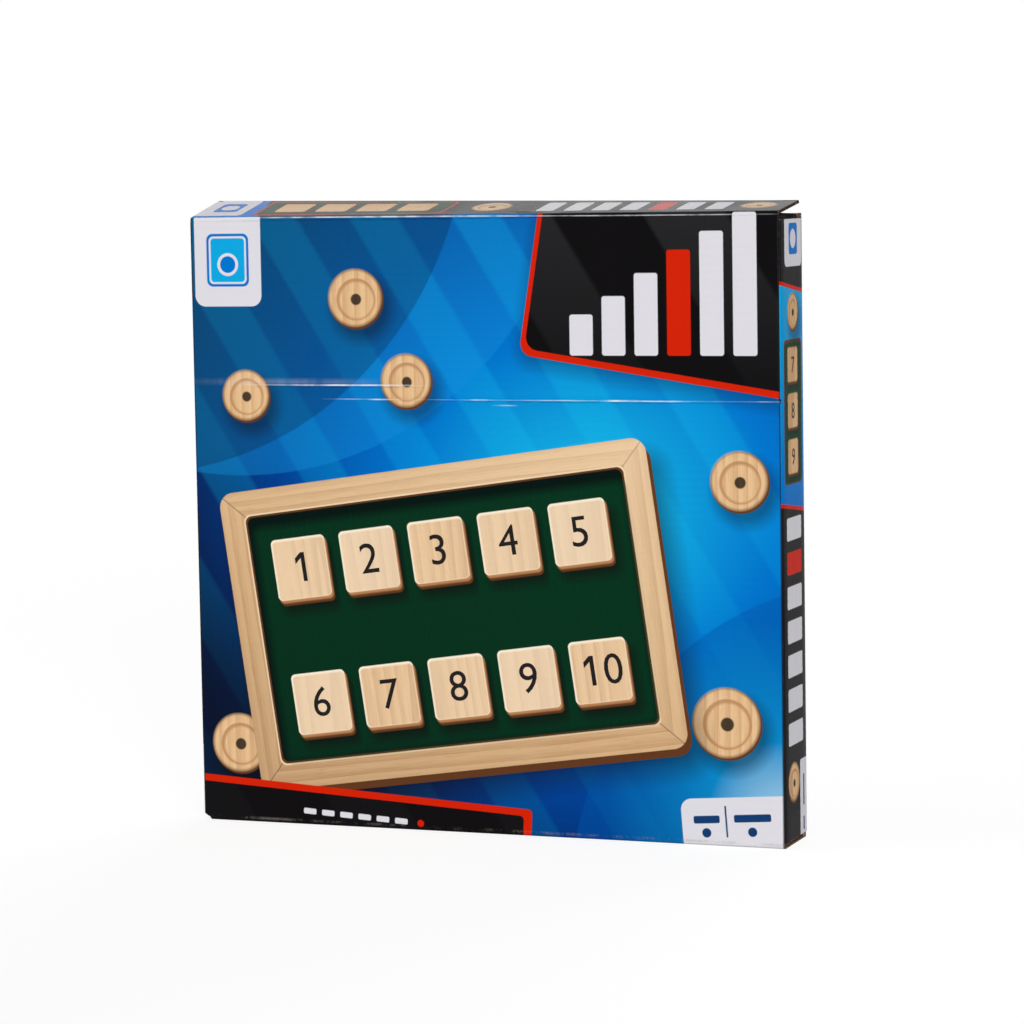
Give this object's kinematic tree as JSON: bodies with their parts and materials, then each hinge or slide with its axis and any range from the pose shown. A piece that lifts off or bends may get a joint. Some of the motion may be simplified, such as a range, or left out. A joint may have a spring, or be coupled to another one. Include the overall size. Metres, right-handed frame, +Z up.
{
  "type": "shut the box game",
  "caption": "Wooden four-sided shut the box game with hinged number tiles, packed in an upright corrugated tuck-top carton.",
  "frame": {"origin": "on the floor under the middle of the standing carton", "axes": "+X to the right seen from the front, +Y from the front panel to the back panel, +Z up"},
  "size_m": [0.28, 0.0349, 0.2816],
  "materials": {
    "printed_board": "gloss film-laminated print outside, plain brown inside",
    "plywood": "raw",
    "tray_wood": "satin",
    "tile_wood": "satin",
    "dice_wood": "satin",
    "green_felt": "napped",
    "steel_rod": "bright drawn"
  },
  "bodies": {
    "root": {"carton_sleeve": "printed_board", "glued_end_panel": "printed_board", "base_board": "plywood", "felt_lining": "green_felt", "rail_frame": "tray_wood", "partition_top": "tray_wood", "partition_bottom": "tray_wood", "partition_left": "tray_wood", "partition_right": "tray_wood", "rod_top": "steel_rod", "rod_bottom": "steel_rod", "rod_left": "steel_rod", "rod_right": "steel_rod", "die_1": "dice_wood", "die_2": "dice_wood"},
    "lid": {"lid_panel": "printed_board"},
    "tuck": {"tuck_flap": "printed_board"},
    "dust_left": {"dust_flap_left": "printed_board"},
    "dust_right": {"dust_flap_right": "printed_board"},
    "tile_top_01": {"tile_top_01": "tile_wood"},
    "tile_top_02": {"tile_top_02": "tile_wood"},
    "tile_top_03": {"tile_top_03": "tile_wood"},
    "tile_top_04": {"tile_top_04": "tile_wood"},
    "tile_top_05": {"tile_top_05": "tile_wood"},
    "tile_top_06": {"tile_top_06": "tile_wood"},
    "tile_top_07": {"tile_top_07": "tile_wood"},
    "tile_top_08": {"tile_top_08": "tile_wood"},
    "tile_top_09": {"tile_top_09": "tile_wood"},
    "tile_top_10": {"tile_top_10": "tile_wood"},
    "tile_right_01": {"tile_right_01": "tile_wood"},
    "tile_right_02": {"tile_right_02": "tile_wood"},
    "tile_right_03": {"tile_right_03": "tile_wood"},
    "tile_right_04": {"tile_right_04": "tile_wood"},
    "tile_right_05": {"tile_right_05": "tile_wood"},
    "tile_right_06": {"tile_right_06": "tile_wood"},
    "tile_right_07": {"tile_right_07": "tile_wood"},
    "tile_right_08": {"tile_right_08": "tile_wood"},
    "tile_right_09": {"tile_right_09": "tile_wood"},
    "tile_right_10": {"tile_right_10": "tile_wood"},
    "tile_bottom_01": {"tile_bottom_01": "tile_wood"},
    "tile_bottom_02": {"tile_bottom_02": "tile_wood"},
    "tile_bottom_03": {"tile_bottom_03": "tile_wood"},
    "tile_bottom_04": {"tile_bottom_04": "tile_wood"},
    "tile_bottom_05": {"tile_bottom_05": "tile_wood"},
    "tile_bottom_06": {"tile_bottom_06": "tile_wood"},
    "tile_bottom_07": {"tile_bottom_07": "tile_wood"},
    "tile_bottom_08": {"tile_bottom_08": "tile_wood"},
    "tile_bottom_09": {"tile_bottom_09": "tile_wood"},
    "tile_bottom_10": {"tile_bottom_10": "tile_wood"},
    "tile_left_01": {"tile_left_01": "tile_wood"},
    "tile_left_02": {"tile_left_02": "tile_wood"},
    "tile_left_03": {"tile_left_03": "tile_wood"},
    "tile_left_04": {"tile_left_04": "tile_wood"},
    "tile_left_05": {"tile_left_05": "tile_wood"},
    "tile_left_06": {"tile_left_06": "tile_wood"},
    "tile_left_07": {"tile_left_07": "tile_wood"},
    "tile_left_08": {"tile_left_08": "tile_wood"},
    "tile_left_09": {"tile_left_09": "tile_wood"},
    "tile_left_10": {"tile_left_10": "tile_wood"}
  },
  "joints": [
    {"name": "lid_hinge", "type": "hinge", "parent": "root", "child": "lid", "pos_m": [0, -0.0174, 0.27565], "axis": [1, 0, 0], "range_deg": [-7.5, 126]},
    {"name": "tuck_fold", "type": "hinge", "parent": "lid", "child": "tuck", "pos_m": [0, 0.0153, 0.28011], "axis": [1, 0, 0], "range_deg": [-0.5, 7.8]},
    {"name": "dust_left_fold", "type": "hinge", "parent": "root", "child": "dust_left", "pos_m": [-0.14, 0, 0.27385], "axis": [0, -1, 0], "range_deg": [-4, 65]},
    {"name": "dust_right_fold", "type": "hinge", "parent": "root", "child": "dust_right", "pos_m": [0.14, 0, 0.27385], "axis": [0, 1, 0], "range_deg": [-4, 65]},
    {"name": "tile_top_01_turn", "type": "hinge", "parent": "root", "child": "tile_top_01", "pos_m": [0, 0.0097, 0.2336], "axis": [-1, 0, 0], "range_deg": [0, 2.5]},
    {"name": "tile_top_02_turn", "type": "hinge", "parent": "root", "child": "tile_top_02", "pos_m": [0, 0.0097, 0.2336], "axis": [-1, 0, 0], "range_deg": [0, 2.5]},
    {"name": "tile_top_03_turn", "type": "hinge", "parent": "root", "child": "tile_top_03", "pos_m": [0, 0.0097, 0.2336], "axis": [-1, 0, 0], "range_deg": [0, 2.5]},
    {"name": "tile_top_04_turn", "type": "hinge", "parent": "root", "child": "tile_top_04", "pos_m": [0, 0.0097, 0.2336], "axis": [-1, 0, 0], "range_deg": [0, 2.5]},
    {"name": "tile_top_05_turn", "type": "hinge", "parent": "root", "child": "tile_top_05", "pos_m": [0, 0.0097, 0.2336], "axis": [-1, 0, 0], "range_deg": [0, 2.5]},
    {"name": "tile_top_06_turn", "type": "hinge", "parent": "root", "child": "tile_top_06", "pos_m": [0, 0.0097, 0.2336], "axis": [-1, 0, 0], "range_deg": [0, 2.5]},
    {"name": "tile_top_07_turn", "type": "hinge", "parent": "root", "child": "tile_top_07", "pos_m": [0, 0.0097, 0.2336], "axis": [-1, 0, 0], "range_deg": [0, 2.5]},
    {"name": "tile_top_08_turn", "type": "hinge", "parent": "root", "child": "tile_top_08", "pos_m": [0, 0.0097, 0.2336], "axis": [-1, 0, 0], "range_deg": [0, 2.5]},
    {"name": "tile_top_09_turn", "type": "hinge", "parent": "root", "child": "tile_top_09", "pos_m": [0, 0.0097, 0.2336], "axis": [-1, 0, 0], "range_deg": [0, 2.5]},
    {"name": "tile_top_10_turn", "type": "hinge", "parent": "root", "child": "tile_top_10", "pos_m": [0, 0.0097, 0.2336], "axis": [-1, 0, 0], "range_deg": [0, 2.5]},
    {"name": "tile_right_01_turn", "type": "hinge", "parent": "root", "child": "tile_right_01", "pos_m": [0.095, 0.0097, 0.1386], "axis": [0, 0, 1], "range_deg": [0, 6]},
    {"name": "tile_right_02_turn", "type": "hinge", "parent": "root", "child": "tile_right_02", "pos_m": [0.095, 0.0097, 0.1386], "axis": [0, 0, 1], "range_deg": [0, 6]},
    {"name": "tile_right_03_turn", "type": "hinge", "parent": "root", "child": "tile_right_03", "pos_m": [0.095, 0.0097, 0.1386], "axis": [0, 0, 1], "range_deg": [0, 6]},
    {"name": "tile_right_04_turn", "type": "hinge", "parent": "root", "child": "tile_right_04", "pos_m": [0.095, 0.0097, 0.1386], "axis": [0, 0, 1], "range_deg": [0, 6]},
    {"name": "tile_right_05_turn", "type": "hinge", "parent": "root", "child": "tile_right_05", "pos_m": [0.095, 0.0097, 0.1386], "axis": [0, 0, 1], "range_deg": [0, 6]},
    {"name": "tile_right_06_turn", "type": "hinge", "parent": "root", "child": "tile_right_06", "pos_m": [0.095, 0.0097, 0.1386], "axis": [0, 0, 1], "range_deg": [0, 6]},
    {"name": "tile_right_07_turn", "type": "hinge", "parent": "root", "child": "tile_right_07", "pos_m": [0.095, 0.0097, 0.1386], "axis": [0, 0, 1], "range_deg": [0, 6]},
    {"name": "tile_right_08_turn", "type": "hinge", "parent": "root", "child": "tile_right_08", "pos_m": [0.095, 0.0097, 0.1386], "axis": [0, 0, 1], "range_deg": [0, 6]},
    {"name": "tile_right_09_turn", "type": "hinge", "parent": "root", "child": "tile_right_09", "pos_m": [0.095, 0.0097, 0.1386], "axis": [0, 0, 1], "range_deg": [0, 6]},
    {"name": "tile_right_10_turn", "type": "hinge", "parent": "root", "child": "tile_right_10", "pos_m": [0.095, 0.0097, 0.1386], "axis": [0, 0, 1], "range_deg": [0, 6]},
    {"name": "tile_bottom_01_turn", "type": "hinge", "parent": "root", "child": "tile_bottom_01", "pos_m": [0, 0.0097, 0.0436], "axis": [1, 0, 0], "range_deg": [-4, 2]},
    {"name": "tile_bottom_02_turn", "type": "hinge", "parent": "root", "child": "tile_bottom_02", "pos_m": [0, 0.0097, 0.0436], "axis": [1, 0, 0], "range_deg": [-4, 2]},
    {"name": "tile_bottom_03_turn", "type": "hinge", "parent": "root", "child": "tile_bottom_03", "pos_m": [0, 0.0097, 0.0436], "axis": [1, 0, 0], "range_deg": [-4, 2]},
    {"name": "tile_bottom_04_turn", "type": "hinge", "parent": "root", "child": "tile_bottom_04", "pos_m": [0, 0.0097, 0.0436], "axis": [1, 0, 0], "range_deg": [-4, 2]},
    {"name": "tile_bottom_05_turn", "type": "hinge", "parent": "root", "child": "tile_bottom_05", "pos_m": [0, 0.0097, 0.0436], "axis": [1, 0, 0], "range_deg": [-4, 2]},
    {"name": "tile_bottom_06_turn", "type": "hinge", "parent": "root", "child": "tile_bottom_06", "pos_m": [0, 0.0097, 0.0436], "axis": [1, 0, 0], "range_deg": [-4, 2]},
    {"name": "tile_bottom_07_turn", "type": "hinge", "parent": "root", "child": "tile_bottom_07", "pos_m": [0, 0.0097, 0.0436], "axis": [1, 0, 0], "range_deg": [-4, 2]},
    {"name": "tile_bottom_08_turn", "type": "hinge", "parent": "root", "child": "tile_bottom_08", "pos_m": [0, 0.0097, 0.0436], "axis": [1, 0, 0], "range_deg": [-4, 2]},
    {"name": "tile_bottom_09_turn", "type": "hinge", "parent": "root", "child": "tile_bottom_09", "pos_m": [0, 0.0097, 0.0436], "axis": [1, 0, 0], "range_deg": [-4, 2]},
    {"name": "tile_bottom_10_turn", "type": "hinge", "parent": "root", "child": "tile_bottom_10", "pos_m": [0, 0.0097, 0.0436], "axis": [1, 0, 0], "range_deg": [-4, 2]},
    {"name": "tile_left_01_turn", "type": "hinge", "parent": "root", "child": "tile_left_01", "pos_m": [-0.095, 0.0097, 0.1386], "axis": [0, 0, -1], "range_deg": [0, 6]},
    {"name": "tile_left_02_turn", "type": "hinge", "parent": "root", "child": "tile_left_02", "pos_m": [-0.095, 0.0097, 0.1386], "axis": [0, 0, -1], "range_deg": [0, 6]},
    {"name": "tile_left_03_turn", "type": "hinge", "parent": "root", "child": "tile_left_03", "pos_m": [-0.095, 0.0097, 0.1386], "axis": [0, 0, -1], "range_deg": [0, 6]},
    {"name": "tile_left_04_turn", "type": "hinge", "parent": "root", "child": "tile_left_04", "pos_m": [-0.095, 0.0097, 0.1386], "axis": [0, 0, -1], "range_deg": [0, 6]},
    {"name": "tile_left_05_turn", "type": "hinge", "parent": "root", "child": "tile_left_05", "pos_m": [-0.095, 0.0097, 0.1386], "axis": [0, 0, -1], "range_deg": [0, 6]},
    {"name": "tile_left_06_turn", "type": "hinge", "parent": "root", "child": "tile_left_06", "pos_m": [-0.095, 0.0097, 0.1386], "axis": [0, 0, -1], "range_deg": [0, 6]},
    {"name": "tile_left_07_turn", "type": "hinge", "parent": "root", "child": "tile_left_07", "pos_m": [-0.095, 0.0097, 0.1386], "axis": [0, 0, -1], "range_deg": [0, 6]},
    {"name": "tile_left_08_turn", "type": "hinge", "parent": "root", "child": "tile_left_08", "pos_m": [-0.095, 0.0097, 0.1386], "axis": [0, 0, -1], "range_deg": [0, 6]},
    {"name": "tile_left_09_turn", "type": "hinge", "parent": "root", "child": "tile_left_09", "pos_m": [-0.095, 0.0097, 0.1386], "axis": [0, 0, -1], "range_deg": [0, 6]},
    {"name": "tile_left_10_turn", "type": "hinge", "parent": "root", "child": "tile_left_10", "pos_m": [-0.095, 0.0097, 0.1386], "axis": [0, 0, -1], "range_deg": [0, 6]}
  ],
  "couplings": [
    {"joint": "tuck_fold", "follows": "lid_hinge", "ratio": 0.06},
    {"joint": "dust_left_fold", "follows": "lid_hinge", "ratio": 0.5},
    {"joint": "dust_right_fold", "follows": "lid_hinge", "ratio": 0.5}
  ]
}
